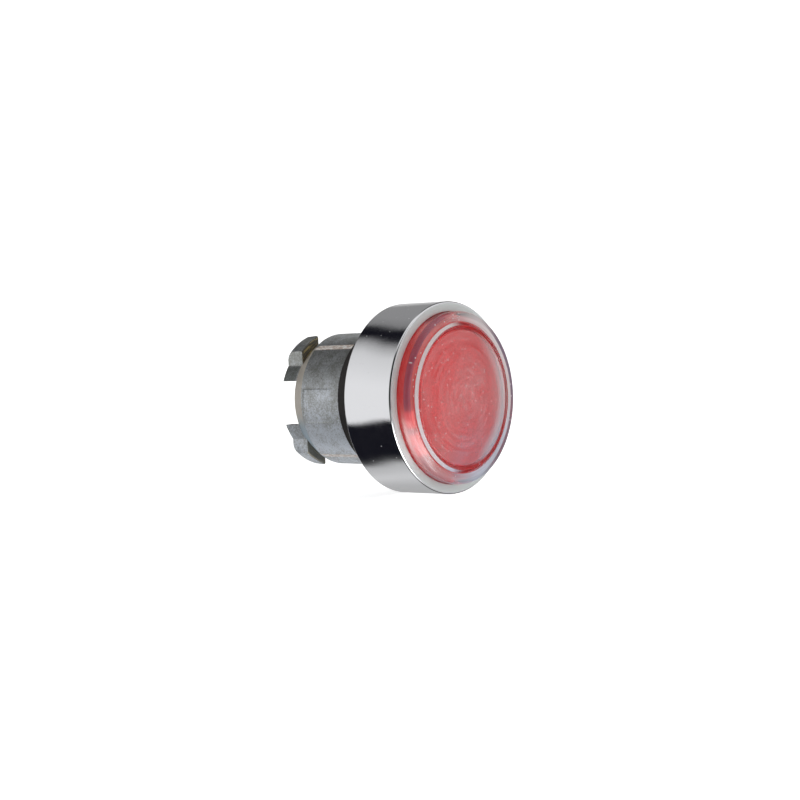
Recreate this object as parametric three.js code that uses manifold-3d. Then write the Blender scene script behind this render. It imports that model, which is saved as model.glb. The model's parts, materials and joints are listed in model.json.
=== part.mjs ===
// Industrial push button head for a 22 mm panel hole: a chromed bezel and a clear rubber boot
// over a red lens, a die-cast barrel with four bayonet claws, and the spring-returned plunger inside.
// Millimetres. The button's axis is Y: its front faces -Y and its claws point to +Y.
// Distances along the axis are counted from the panel's front face, where the gasket sits.
import * as THREE from "three";
import { mergeVertices } from "three/addons/utils/BufferGeometryUtils.js";
import Module from "manifold-3d";

const FINE = 64; // facets of the turned pieces that can be seen
const COARSE = 32; // facets of the turned pieces inside
const WELD = 1e-3;

// Axial stations
const APEX = -11.95; // top of the boot's dome
const BEZEL_FRONT = -9.2;
const BEZEL_STEP = -4.8; // shoulder that clamps the boot's bead
const COLLAR_FRONT = -3.35;
const FLOOR_FRONT = -1.75;
const SEAT = 0; // rear face of the gasket, against the panel
const SHOULDER = 5.65; // step in the barrel's bore that the bush flange sits on
const RIM = 15.1; // rear rim of the barrel
const HOOK_FRONT = 14.7;
const CLAW_END = 17.8;
const MIDDLE = (APEX + CLAW_END) / 2; // the frame's origin is the middle of the whole object

// Radii
const BEZEL_R = 14.5;
const BEZEL_BORE_R = 12.95;
const THREAD_R = 13.65;
const BARREL_R = 10.35;
const PAD_R = 10.75;
const PAD_EDGE = 49; // degrees from the side where a pad's face ends
const PAD_FOOT = 57; // degrees from the side where its bevelled edge meets the barrel
const RIM_R = 9.0;
const SPRING_BORE_R = 9.2;
const BUSH_BORE_R = 7.7;
const STEM_R = 6.0;
const GUIDE_R = 4.55;
const RUNNING_FIT = 0.05;

// Bayonet claws, given for one quadrant and mirrored to the other three
const CLAW_SIDE_X = 3.2;
const CLAW_WALL_Z = 3.3;
const HOOK_SIDE_X = 7.1;
const HOOK_Z = 5.7;
const QUADRANTS = [[1, 1], [1, -1], [-1, 1], [-1, -1]];

const wasm = await Module();
wasm.setup();

// ---- Geometry helpers ----

// A solid of revolution about Y from a profile of [radius, y] points that runs with +y on its outside.
// A profile off the axis closes on itself.
function turned(profile, facets = FINE) {
  const offAxis = profile[0][0] > 0;
  const loop = offAxis ? [...profile, profile[0]] : profile;
  const points = loop.map(([r, y]) => new THREE.Vector2(r, y));
  return new THREE.LatheGeometry(points, facets);
}

// A plain ring or disc between two radii and two stations.
function ring(innerR, outerR, y0, y1, facets = COARSE) {
  const profile = [[innerR, y0], [outerR, y0], [outerR, y1], [innerR, y1]];
  return turned(profile, facets);
}

// A polygon of [x, z] points extruded along Y from y0 to y1.
function prism(polygon, y0, y1) {
  const shape = new THREE.Shape(polygon.map(([x, z]) => new THREE.Vector2(x, z)));
  const geometry = new THREE.ExtrudeGeometry(shape, { depth: y1 - y0, bevelEnabled: false });
  return geometry.rotateX(Math.PI / 2).translate(0, y1, 0);
}

// A rectangular block given by its corners in x and z and its two stations.
function block(x0, x1, z0, z1, y0, y1) {
  const [left, right] = [Math.min(x0, x1), Math.max(x0, x1)];
  const [low, high] = [Math.min(z0, z1), Math.max(z0, z1)];
  return prism([[left, low], [right, low], [right, high], [left, high]], y0, y1);
}

// Points [x, z] on an arc about the axis, in degrees from +X.
function arc(radius, from, to, steps) {
  const points = [];
  for (let i = 0; i <= steps; i += 1) {
    const angle = THREE.MathUtils.degToRad(from + ((to - from) * i) / steps);
    points.push([radius * Math.cos(angle), radius * Math.sin(angle)]);
  }
  return points;
}

function toSolid(geometry) {
  const bare = geometry.index ? geometry.toNonIndexed() : geometry.clone();
  bare.deleteAttribute("normal");
  bare.deleteAttribute("uv");
  const welded = mergeVertices(bare, WELD);
  return new wasm.Manifold(
    new wasm.Mesh({
      numProp: 3,
      vertProperties: welded.attributes.position.array,
      triVerts: new Uint32Array(welded.index.array),
    }),
  );
}

function toGeometry(solid) {
  const mesh = solid.getMesh();
  const geometry = new THREE.BufferGeometry();
  geometry.setAttribute("position", new THREE.BufferAttribute(mesh.vertProperties, 3));
  geometry.setIndex(new THREE.BufferAttribute(mesh.triVerts, 1));
  const faceted = geometry.toNonIndexed();
  faceted.computeVertexNormals();
  return faceted;
}

function joined(geometries) {
  return geometries.map(toSolid).reduce((sum, next) => sum.add(next));
}

// ---- Housing ----

// The turned core of the casting: collar, flange, barrel and rear taper around a stepped bore.
function barrelCore() {
  return turned([
    [12.55, COLLAR_FRONT],
    [13.6, COLLAR_FRONT],
    [13.6, -0.85],
    [BARREL_R, -0.85],
    [BARREL_R, 12.8],
    [RIM_R, RIM],
    [BUSH_BORE_R, RIM],
    [BUSH_BORE_R, SHOULDER],
    [SPRING_BORE_R, SHOULDER],
    [SPRING_BORE_R, FLOOR_FRONT],
    [12.55, FLOOR_FRONT],
  ]);
}

// A raised pad with bevelled edges on each side of the barrel.
function sidePads() {
  const pad = toSolid(turned([
    [9.6, 4.35],
    [PAD_R, 4.35],
    [PAD_R, 12.1],
    [9.6, 14.05],
  ]));
  const [lowFoot, highFoot] = arc(BARREL_R, -PAD_FOOT, PAD_FOOT, 1);
  const [lowEdge, highEdge] = arc(PAD_R, -PAD_EDGE, PAD_EDGE, 1);
  const beyond = arc(20, -PAD_EDGE, PAD_EDGE, 1);
  const wedge = [[0, 0], lowFoot, lowEdge, ...beyond, highEdge, highFoot];
  const right = toSolid(prism(wedge, 4, 15));
  const left = toSolid(prism(wedge.map(([x, z]) => [-x, -z]), 4, 15));
  return pad.intersect(right.add(left));
}

// One claw: a stretch of the rear wall, and the hook that stands out of it.
function claw(sideX, sideZ) {
  const wall = toSolid(turned([
    [7.8, HOOK_FRONT],
    [8.85, HOOK_FRONT],
    [9.15, HOOK_FRONT + 0.2],
    [9.15, CLAW_END],
    [7.8, CLAW_END],
  ]));
  const wallStretch = toSolid(
    block(sideX * CLAW_SIDE_X, sideX * 12, sideZ * CLAW_WALL_Z, sideZ * 12, 14, 18),
  );
  const hook = toSolid(turned([
    [8.6, HOOK_FRONT],
    [10.8, HOOK_FRONT],
    [10.85, HOOK_FRONT + 0.5],
    [10.6, CLAW_END],
    [8.6, CLAW_END],
  ]));
  const hookStretch = toSolid(
    block(sideX * CLAW_SIDE_X, sideX * HOOK_SIDE_X, sideZ * HOOK_Z, sideZ * 12, 14, 18),
  );
  return wall.intersect(wallStretch).add(hook.intersect(hookStretch));
}

// The shallow rectangular mark left by the mould on the barrel's left pad.
function mouldMark() {
  const skin = toSolid(turned([
    [PAD_R - 0.09, 5.8],
    [PAD_R + 0.3, 5.8],
    [PAD_R + 0.3, 11.7],
    [PAD_R - 0.09, 11.7],
  ]));
  return skin.intersect(toSolid(block(-12, -8, -2.9, 2.3, 5, 12.5)));
}

function operatorBody() {
  let body = toSolid(barrelCore()).add(sidePads());
  for (const [sideX, sideZ] of QUADRANTS) {
    body = body.add(claw(sideX, sideZ));
  }
  return toGeometry(body.subtract(mouldMark()));
}

function bezel() {
  return turned([
    [BEZEL_BORE_R + 0.15, BEZEL_FRONT],
    [BEZEL_R - 0.3, BEZEL_FRONT],
    [BEZEL_R - 0.09, BEZEL_FRONT + 0.09],
    [BEZEL_R, BEZEL_FRONT + 0.3],
    [BEZEL_R, -0.5],
    [BEZEL_R - 0.2, -0.3],
    [THREAD_R, -0.3],
    [THREAD_R, BEZEL_STEP],
    [BEZEL_BORE_R, BEZEL_STEP],
    [BEZEL_BORE_R, BEZEL_FRONT + 0.15],
  ]);
}

function panelGasket() {
  return turned([
    [10.4, -0.8],
    [13.55, -0.8],
    [13.55, SEAT],
    [10.95, SEAT],
    [10.95, 4.0],
    [10.75, 4.2],
    [10.4, 4.2],
  ]);
}

// The clear boot: a domed front with a groove round its disc, a drafted side wall and a clamped bead.
function boot() {
  return turned([
    [0, -11.15],
    [6.0, -10.88],
    [9.8, -10.5],
    [11.5, -10.5],
    [12.2, -10.1],
    [12.45, -9.2],
    [12.45, -3.97],
    [13.55, -3.97],
    [13.55, -4.75],
    [12.85, -4.75],
    [12.85, BEZEL_FRONT],
    [12.9, -10.4],
    [12.7, -11.1],
    [12.15, -11.27],
    [11.35, -11.12],
    [11.05, -11.45],
    [10.75, -11.49],
    [10.2, -11.04],
    [9.9, -11.2],
    [8.5, -11.38],
    [4.5, -11.8],
    [0, APEX],
  ].reverse());
}

function bootClampRing() {
  return ring(12.55, 13.55, -3.92, COLLAR_FRONT - 0.05);
}

function guideBush() {
  return turned([
    [STEM_R + RUNNING_FIT, 4.9],
    [9.1, 4.9],
    [9.1, 5.6],
    [BUSH_BORE_R - RUNNING_FIT, 5.6],
    [BUSH_BORE_R - RUNNING_FIT, 12.4],
    [STEM_R + RUNNING_FIT, 12.4],
  ], COARSE);
}

function lipSeal() {
  return turned([
    [7.2, 3.65],
    [9.1, 3.65],
    [9.1, 4.85],
    [7.0, 4.85],
    [6.3, 4.5],
    [STEM_R + RUNNING_FIT, 3.95],
    [6.3, 3.8],
    [6.8, 4.2],
  ], COARSE);
}

function stopWasher() {
  return ring(6.1, 7.55, 12.45, 12.95);
}

function springSeat() {
  return ring(6.2, 9.1, 3.1, 3.6);
}

// A compression spring with one closed coil at each end.
class CoilPath extends THREE.Curve {
  constructor({ radius, start, end, activeTurns, closedPitch }) {
    super();
    Object.assign(this, { radius, start, end, activeTurns, closedPitch });
  }

  getPoint(t, target = new THREE.Vector3()) {
    const turns = this.activeTurns + 2;
    const turn = t * turns;
    const activePitch = (this.end - this.start - 2 * this.closedPitch) / this.activeTurns;
    const closed = Math.min(turn, 1) + Math.max(turn - turns + 1, 0);
    const active = turn - closed;
    const y = this.start + closed * this.closedPitch + active * activePitch;
    const angle = turn * 2 * Math.PI;
    return target.set(this.radius * Math.cos(angle), y, this.radius * Math.sin(angle));
  }
}

function returnSpring() {
  const wireR = 0.45;
  const path = new CoilPath({
    radius: 7.55,
    start: -7.86 + wireR,
    end: 3.06 - wireR,
    activeTurns: 4,
    closedPitch: 0.95,
  });
  const wire = new THREE.Shape(arc(wireR, 0, 315, 7).map(([x, z]) => new THREE.Vector2(x, z)));
  return new THREE.ExtrudeGeometry(wire, { steps: 96, extrudePath: path });
}

// ---- Moving button ----

function lensCap() {
  return turned([
    [0, -11.0],
    [6.0, -10.75],
    [9.8, -10.38],
    [11.4, -10.35],
    [12.0, -10.0],
    [12.2, -9.4],
    [12.2, -6.0],
    [11.1, -6.0],
    [11.1, -9.3],
    [10.6, -9.8],
    [0, -9.85],
  ], COARSE);
}

function diffuser() {
  return turned([[0, -9.75], [10.3, -9.75], [10.9, -9.25], [10.9, -9.15], [0, -9.15]], COARSE);
}

// The ring that snaps the lens on to the plunger's head.
function lensCarrier() {
  return turned([
    [9.0, -9.1],
    [11.05, -9.1],
    [11.05, -6.1],
    [9.55, -6.1],
    [9.55, -8.5],
    [9.0, -8.5],
  ], COARSE);
}

// The hollow stem with its head, a seat for the light guide and a groove for the clip.
function plunger() {
  return turned([
    [5.75, -9.05],
    [8.95, -9.05],
    [8.95, -8.45],
    [9.5, -8.45],
    [9.5, -7.9],
    [STEM_R, -7.9],
    [STEM_R, 12.98],
    [5.5, 12.98],
    [5.5, 13.62],
    [STEM_R, 13.62],
    [STEM_R, 14.55],
    [4.6, 14.55],
    [4.6, -8.45],
    [5.75, -8.45],
  ], COARSE);
}

function lightGuide() {
  return turned([
    [0, -9.05],
    [5.7, -9.05],
    [5.7, -8.5],
    [GUIDE_R, -8.5],
    [GUIDE_R, 14.3],
    [0, 14.3],
  ], COARSE);
}

// An open clip that holds the plunger in the barrel against the stop washer.
function retainingClip() {
  const outline = [...arc(7.2, 35, 325, 20), ...arc(5.55, 325, 35, 20)];
  return prism(outline, 13.0, 13.6);
}

// The foot that presses the contact blocks: a ring on the plunger's end with two feet.
function pusher() {
  const hub = turned([
    [STEM_R + 0.03, 13.66],
    [7.2, 13.66],
    [7.2, 15.5],
    [GUIDE_R, 15.5],
    [GUIDE_R, 14.6],
    [STEM_R + 0.03, 14.6],
  ], COARSE);
  const feet = [-1, 1].map((side) => block(side * 4.8, side * 6.7, -2.2, 2.2, 15.2, 16.9));
  return toGeometry(joined([hub, ...feet]));
}

// ---- Assembly ----

const FINISHES = {
  zinc: { color: 0xa9abab, metalness: 0.8, roughness: 0.5 },
  chrome: { color: 0xd9dbdd, metalness: 1.0, roughness: 0.15 },
  rubber: { color: 0x262426, metalness: 0.0, roughness: 0.7 },
  silicone: { color: 0xe9dfe0, metalness: 0.0, roughness: 0.3, transparent: true, opacity: 0.4 },
  redLens: { color: 0xc8202a, metalness: 0.0, roughness: 0.15, transparent: true, opacity: 0.85 },
  milky: { color: 0xf1efe8, metalness: 0.0, roughness: 0.5 },
  clear: { color: 0xe8f0f2, metalness: 0.0, roughness: 0.1, transparent: true, opacity: 0.5 },
  blackPlastic: { color: 0x1e1e20, metalness: 0.0, roughness: 0.5 },
  greyPlastic: { color: 0x6e7174, metalness: 0.0, roughness: 0.5 },
  whitePlastic: { color: 0xe6e2d6, metalness: 0.0, roughness: 0.5 },
  springSteel: { color: 0x9a9ca0, metalness: 1.0, roughness: 0.3 },
};

const PIECES = [
  ["operator_body", operatorBody, "zinc"],
  ["bezel", bezel, "chrome"],
  ["panel_gasket", panelGasket, "rubber"],
  ["boot", boot, "silicone"],
  ["boot_clamp_ring", bootClampRing, "greyPlastic"],
  ["guide_bush", guideBush, "whitePlastic"],
  ["lip_seal", lipSeal, "rubber"],
  ["spring_seat", springSeat, "springSteel"],
  ["stop_washer", stopWasher, "rubber"],
  ["return_spring", returnSpring, "springSteel"],
  ["lens_cap", lensCap, "redLens"],
  ["diffuser", diffuser, "milky"],
  ["lens_carrier", lensCarrier, "milky"],
  ["light_guide", lightGuide, "clear"],
  ["plunger", plunger, "blackPlastic"],
  ["retaining_clip", retainingClip, "springSteel"],
  ["pusher", pusher, "blackPlastic"],
];

function assemble() {
  const button = new THREE.Group();
  button.name = "push_button";
  for (const [name, build, finish] of PIECES) {
    const mesh = new THREE.Mesh(build(), new THREE.MeshStandardMaterial(FINISHES[finish]));
    mesh.name = name;
    mesh.position.y = -MIDDLE;
    button.add(mesh);
  }
  return button;
}

export default assemble();
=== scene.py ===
"""Looks of the industrial push button head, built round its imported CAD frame.

Lengths in this script are millimetres from the panel seat unless a name ends in _M. The button's axis is Y,
its front faces -Y. Pieces are placed from the panel_seat mount, so they land where the CAD nodes are.
"""
import json
import math
from collections import namedtuple

import bmesh
import bpy
from mathutils import Matrix, Vector


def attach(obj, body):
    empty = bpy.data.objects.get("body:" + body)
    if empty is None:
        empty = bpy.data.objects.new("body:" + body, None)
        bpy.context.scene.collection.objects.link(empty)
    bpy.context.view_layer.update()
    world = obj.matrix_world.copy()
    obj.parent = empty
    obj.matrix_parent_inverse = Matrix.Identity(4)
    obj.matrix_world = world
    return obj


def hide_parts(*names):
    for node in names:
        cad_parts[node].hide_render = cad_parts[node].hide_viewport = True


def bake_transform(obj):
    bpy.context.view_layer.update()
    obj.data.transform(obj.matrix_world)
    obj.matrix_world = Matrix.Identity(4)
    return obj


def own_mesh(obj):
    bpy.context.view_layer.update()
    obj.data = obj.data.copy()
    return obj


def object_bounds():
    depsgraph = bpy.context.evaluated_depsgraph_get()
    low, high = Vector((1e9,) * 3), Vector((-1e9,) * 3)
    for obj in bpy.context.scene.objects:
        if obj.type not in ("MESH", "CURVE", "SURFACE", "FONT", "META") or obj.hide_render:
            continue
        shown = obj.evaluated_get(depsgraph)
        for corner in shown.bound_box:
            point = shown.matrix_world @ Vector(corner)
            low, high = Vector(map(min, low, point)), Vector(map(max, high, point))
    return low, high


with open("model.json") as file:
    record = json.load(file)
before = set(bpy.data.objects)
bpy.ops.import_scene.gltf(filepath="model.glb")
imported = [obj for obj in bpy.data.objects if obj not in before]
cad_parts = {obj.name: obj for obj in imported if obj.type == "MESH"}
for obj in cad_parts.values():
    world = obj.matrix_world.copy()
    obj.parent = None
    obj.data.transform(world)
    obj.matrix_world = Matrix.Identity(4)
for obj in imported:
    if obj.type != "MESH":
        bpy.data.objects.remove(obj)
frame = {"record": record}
CAD_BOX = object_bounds()

MM = 0.001
MOUNTS = {mount["name"]: mount for mount in frame["record"]["mounts"]}
SEAT_Y_M = MOUNTS["panel_seat"]["pos_m"][1]

# Stations along the axis
APEX = -11.95
BEZEL_FRONT = -9.2
BEZEL_STEP = -4.8
COLLAR_FRONT = -3.35
FLOOR_FRONT = -1.75
SHOULDER = 5.65
RIM = 15.1
HOOK_FRONT = 14.7
CLAW_END = 17.8
HEAD_REAR = -7.9
SPRING_SEAT = 3.1

# Radii and other widths
BEZEL_R = 14.5
BEZEL_EDGE = 0.30
BEZEL_BORE_R = 12.95
BOOT_R = 12.91
RIDGE_FOOT_R = 11.3
RIDGE_R = 10.85
DISC_R = 10.2
THREAD_R = 13.65
BARREL_R = 10.35
PAD_R = 10.75
RIM_R = 9.0
TAPER = (BARREL_R - RIM_R) / 2.3
MARK_DEPTH = 0.09
MARK_SLOPE = 0.12

# The pads' edges in degrees from the sides, the mould mark's extents and the claw hooks' crowned outline
PAD_EDGES = (49.0, 57.0)
MARK_Y = (5.8, 11.7)
MARK_Z = (-2.9, 2.3)
HOOK_CROWN = [
    (HOOK_FRONT, 10.5), (14.82, 10.66), (15.1, 10.74), (16.9, 10.62), (17.3, 10.5), (17.6, 10.22),
    (CLAW_END, 9.8),
]

SEGMENTS = 160


# ---------------------------------------------------------------- mesh helpers

def rounded(corners, closed=True, steps=4):
    """A profile of [radius, y, fillet] corners as plain points, each fillet turned into a short arc."""
    points = []
    count = len(corners)
    for i, (r, y, fillet) in enumerate(corners):
        at_end = not closed and i in (0, count - 1)
        if at_end or fillet <= 0:
            points.append((r, y))
            continue
        here = Vector((r, y))
        back = Vector(corners[i - 1][:2]) - here
        ahead = Vector(corners[(i + 1) % count][:2]) - here
        angle = back.angle(ahead)
        reach = min(fillet / math.tan(angle / 2), back.length * 0.49, ahead.length * 0.49)
        start = here + back.normalized() * reach
        end = here + ahead.normalized() * reach
        for k in range(steps + 1):
            t = k / steps
            point = start * (1 - t) ** 2 + here * 2 * t * (1 - t) + end * t ** 2
            points.append(tuple(point))
    return points


def new_piece(name, bm, sharp_deg=35):
    """A mesh object from a bmesh in millimetres from the panel seat."""
    bmesh.ops.remove_doubles(bm, verts=bm.verts, dist=1e-5)
    bmesh.ops.recalc_face_normals(bm, faces=bm.faces)
    mesh = bpy.data.meshes.new(name)
    bm.to_mesh(mesh)
    bm.free()
    mesh.transform(Matrix.Translation((0, SEAT_Y_M, 0)) @ Matrix.Scale(MM, 4))
    mesh.polygons.foreach_set("use_smooth", [True] * len(mesh.polygons))
    mesh.set_sharp_from_angle(angle=math.radians(sharp_deg))
    piece = bpy.data.objects.new(name, mesh)
    bpy.context.scene.collection.objects.link(piece)
    return piece


def lathe_mesh(profile, closed=True, segments=SEGMENTS):
    """A bmesh turned about Y from [radius, y] points."""
    bm = bmesh.new()
    rings = []
    for s in range(segments):
        angle = 2 * math.pi * s / segments
        c, n = math.cos(angle), math.sin(angle)
        rings.append([bm.verts.new((r * c, y, r * n)) for r, y in profile])
    spans = len(profile) if closed else len(profile) - 1
    for s in range(segments):
        here, there = rings[s], rings[(s + 1) % segments]
        for i in range(spans):
            j = (i + 1) % len(profile)
            corners = [here[i], here[j], there[j], there[i]]
            if profile[i][0] < 1e-6:
                corners = [here[i], here[j], there[j]]
            elif profile[j][0] < 1e-6:
                corners = [here[i], here[j], there[i]]
            bm.faces.new(corners)
    return bm


def lathe(name, corners, closed=True, segments=SEGMENTS, steps=4):
    return new_piece(name, lathe_mesh(rounded(corners, closed, steps), closed, segments))


def arc(radius, from_deg, to_deg, steps):
    points = []
    for i in range(steps + 1):
        a = math.radians(from_deg + (to_deg - from_deg) * i / steps)
        points.append((radius * math.cos(a), radius * math.sin(a)))
    return points


def loft_mesh(sections):
    """A bmesh through (y, outline) sections, whose outlines of [x, z] points have the same count."""
    bm = bmesh.new()
    rings = [[bm.verts.new((x, y, z)) for x, z in outline] for y, outline in sections]
    bm.faces.new(rings[0])
    bm.faces.new(list(reversed(rings[-1])))
    for here, there in zip(rings, rings[1:]):
        for i in range(len(here)):
            j = (i + 1) % len(here)
            bm.faces.new((here[j], here[i], there[i], there[j]))
    bmesh.ops.recalc_face_normals(bm, faces=bm.faces)
    return bm


def apply_modifiers(obj):
    depsgraph = bpy.context.evaluated_depsgraph_get()
    mesh = bpy.data.meshes.new_from_object(obj.evaluated_get(depsgraph))
    old = obj.data
    obj.modifiers.clear()
    obj.data = mesh
    bpy.data.meshes.remove(old)


def bevel(obj, width, segments=3, angle_deg=35):
    modifier = obj.modifiers.new("edges", "BEVEL")
    modifier.width = width * MM
    modifier.segments = segments
    modifier.limit_method = "ANGLE"
    modifier.angle_limit = math.radians(angle_deg)
    modifier.harden_normals = False
    apply_modifiers(obj)


def join(target, others):
    """Adds the meshes of others to target and removes the others."""
    bm = bmesh.new()
    bm.from_mesh(target.data)
    for other in others:
        bm.from_mesh(other.data)
        bpy.data.objects.remove(other)
    bm.to_mesh(target.data)
    bm.free()
    target.data.polygons.foreach_set("use_smooth", [True] * len(target.data.polygons))
    target.data.set_sharp_from_angle(angle=math.radians(35))


# ---------------------------------------------------------------- shader helpers

ONE_INPUT = {"SQRT", "ABSOLUTE", "FRACT", "ARCCOSINE"}

Spot = namedtuple("Spot", "place x y z radius angle")


class Graph:
    """A node tree with short calls for the nodes this scene uses."""

    def __init__(self, owner):
        owner.use_nodes = True
        self.tree = owner.node_tree
        self.tree.nodes.clear()

    def node(self, kind, values=None, **settings):
        made = self.tree.nodes.new("ShaderNode" + kind)
        for key, value in settings.items():
            setattr(made, key, value)
        for key, value in (values or {}).items():
            self.put(made.inputs[key], value)
        return made

    def put(self, socket, value):
        if isinstance(value, bpy.types.NodeSocket):
            self.tree.links.new(value, socket)
        else:
            socket.default_value = value

    def math(self, operation, a, b=0.0, clamp=False):
        values = {0: a} if operation in ONE_INPUT else {0: a, 1: b}
        return self.node("Math", values, operation=operation, use_clamp=clamp).outputs[0]

    def chain(self, operation, first, *others):
        for other in others:
            first = self.math(operation, first, other)
        return first

    def product(self, *factors):
        return self.chain("MULTIPLY", *factors)

    def total(self, *terms):
        return self.chain("ADD", *terms)

    def largest(self, *values):
        return self.chain("MAXIMUM", *values)

    def scaled(self, value, scale, shift=0.0):
        """value x scale + shift."""
        values = {0: value, 1: scale, 2: shift}
        return self.node("Math", values, operation="MULTIPLY_ADD").outputs[0]

    def step(self, value, low, high):
        """0 below low, 1 above high and smooth between; low may be the larger of the two."""
        values = {"Value": value, "From Min": low, "From Max": high}
        made = self.node("MapRange", values, interpolation_type="SMOOTHSTEP", clamp=True)
        return made.outputs["Result"]

    def band(self, value, low, high, soft):
        """1 where value lies between low and high and 0 outside, with edges as wide as soft."""
        rise = self.step(value, low - soft / 2, low + soft / 2)
        fall = self.step(value, high + soft / 2, high - soft / 2)
        return self.product(rise, fall)

    def mix(self, factor, a, b):
        made = self.node("Mix", {0: factor, 6: a, 7: b}, data_type="RGBA")
        return made.outputs[2]

    def overlay(self, operation, a, b):
        """Colours a and b multiplied or added, as operation says."""
        made = self.node("Mix", {0: 1.0, 6: a, 7: b}, data_type="RGBA", blend_type=operation)
        return made.outputs[2]

    def blend(self, factor, a, b):
        made = self.node("Mix", {0: factor, 2: a, 3: b}, data_type="FLOAT")
        return made.outputs[0]

    def noise(self, vector, scale, detail=2.0, roughness=0.5):
        values = {"Vector": vector, "Scale": scale, "Detail": detail, "Roughness": roughness}
        return self.node("TexNoise", values).outputs[0]

    def ramp(self, factor, stops):
        """A colour ramp through (position, grey level or colour) stops."""
        made = self.node("ValToRGB", {"Fac": factor})
        ramp = made.color_ramp
        while len(ramp.elements) < len(stops):
            ramp.elements.new(0.5)
        for element, (at, colour) in zip(ramp.elements, stops):
            element.position = at
            element.color = colour if isinstance(colour, tuple) else (colour, colour, colour, 1)
        return made.outputs[0]

    def vector(self, operation, a, b=(0.0, 0.0, 0.0)):
        return self.node("VectorMath", {0: a, 1: b}, operation=operation).outputs[0]

    def stretched(self, vector, scale):
        return self.node("VectorMath", {0: vector, "Scale": scale}, operation="SCALE").outputs[0]

    def dot(self, a, b):
        return self.node("VectorMath", {0: a, 1: b}, operation="DOT_PRODUCT").outputs["Value"]

    def combine(self, x, y, z):
        return self.node("CombineXYZ", {0: x, 1: y, 2: z}).outputs[0]

    def split(self, vector):
        return self.node("SeparateXYZ", {0: vector}).outputs

    def geometry(self, output):
        return self.node("NewGeometry").outputs[output]

    def spot(self):
        """Where a point lies on the object, in millimetres from the panel seat and in radians."""
        coords = self.node("TexCoord").outputs["Object"]
        place = self.stretched(self.vector("ADD", coords, (0, -SEAT_Y_M, 0)), 1 / MM)
        x, y, z = self.split(place)
        radius = self.math("SQRT", self.total(self.product(x, x), self.product(z, z)))
        angle = self.math("ARCTAN2", z, x)
        return Spot(place, x, y, z, radius, angle)

    def bump(self, height, distance):
        return self.node("Bump", {"Height": height, "Distance": distance * MM, "Strength": 1.0}).outputs[0]

    def principled(self, values):
        return self.node("BsdfPrincipled", values)

    def surface(self, shader):
        output = self.node("OutputMaterial")
        self.tree.links.new(shader.outputs[0], output.inputs["Surface"])


def material(name):
    made = bpy.data.materials.new(name)
    return made, Graph(made)


def paint(piece, made):
    piece.data.materials.clear()
    piece.data.materials.append(made)


def dust(g, place, scale, threshold, size, dimensions="3D"):
    """A sparse mask of fine dust specks, scale cells to a millimetre and size cells in radius."""
    values = {"Vector": place, "Scale": scale}
    cell = g.node("TexVoronoi", values, feature="F1", voronoi_dimensions=dimensions)
    near = g.step(cell.outputs["Distance"], size, size * 0.7)
    pick = g.node("SeparateColor", {0: cell.outputs["Color"]}).outputs[0]
    return g.product(near, g.step(pick, threshold, threshold + 0.01))


# ---------------------------------------------------------------- chrome

BRUSH_PER_MM = 26.0
CHROME = (0.88, 0.885, 0.91, 1)
SATIN_CHROME = (0.72, 0.76, 0.75, 1)
SPECK_GREY = (0.8, 0.8, 0.8, 1)


def chrome_plate():
    """Chrome brushed round the ring, with a satin front face between polished edges."""
    made, g = material("chrome_plate")
    at = g.spot()
    edge_r = BEZEL_R - BEZEL_EDGE
    front = g.product(
        g.step(at.y, BEZEL_FRONT + 0.06, BEZEL_FRONT + 0.02),
        g.step(at.radius, edge_r + 0.02, edge_r - 0.04),
    )
    around = g.product(at.angle, 4.0)
    brushed = g.noise(g.combine(around, g.product(at.y, BRUSH_PER_MM), 0.0), 1.0, 4.0)
    turned = g.noise(g.combine(around, g.product(at.radius, BRUSH_PER_MM), 0.0), 1.0, 4.0)
    grain = g.blend(front, brushed, turned)
    handled = g.noise(at.place, 0.6, 3.0)
    side_roughness = g.total(g.product(grain, 0.10), g.product(handled, 0.08))
    specks = dust(g, at.place, 2.2, 0.92, 0.18)
    metal = g.principled({
        "Base Color": g.mix(specks, g.mix(front, CHROME, SATIN_CHROME), SPECK_GREY),
        "Metallic": g.math("SUBTRACT", g.blend(front, 1.0, 0.5), specks, clamp=True),
        "Roughness": g.total(g.blend(front, side_roughness, 0.40), g.product(specks, 0.5)),
        "Anisotropic": g.blend(front, 0.6, 0.8),
        "Anisotropic Rotation": 0.25,
        "Tangent": g.node("Tangent", direction_type="RADIAL", axis="Y").outputs[0],
        "Normal": g.bump(grain, 0.003),
    })
    g.surface(metal)
    return made


# ---------------------------------------------------------------- die-cast zinc

# Colours of the painted highlights along the pads' edges
PALE_HIGHLIGHT = (0.95, 0.92, 0.89, 1)
BROWN_HIGHLIGHT = (0.55, 0.44, 0.37, 1)
TAPER_BROWN = (0.66, 0.59, 0.50, 1)
TAPER_BLUE = (0.36, 0.47, 0.54, 1)
RIM_HIGHLIGHT = (0.95, 0.86, 0.62, 1)
OLIVE = (0.12, 0.11, 0.085, 1)
GILT = (0.60, 0.49, 0.22, 1)


def cast_tone(g, at, mottle, grain):
    """Mottling, lighter in the mould mark, with painted light on the lower side, and darker along the
    mark's border.
    """
    blotch = g.noise(at.place, 0.5, 4.0, 0.6)
    tone = g.total(g.product(blotch, 0.25), g.product(mottle, 0.45), g.product(grain, 0.30))
    mark = g.product(
        g.band(at.z, *MARK_Z, 0.4),
        g.band(at.y, *MARK_Y, 0.4),
        g.step(at.x, -8.0, -9.0),
    )
    border = g.product(mark, g.scaled(mark, -4.0, 4.0))
    lower_side_light = g.product(g.band(at.z, -7.6, -3.0, 2.0), g.step(at.y, 14.0, 13.0))
    return g.total(
        tone,
        g.product(mark, 0.035),
        g.product(border, -0.05),
        # Painted light: the lower side lifted lighter
        g.product(g.step(at.z, -2.0, -6.0), 0.035),
        g.product(lower_side_light, 0.06),
    )


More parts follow.
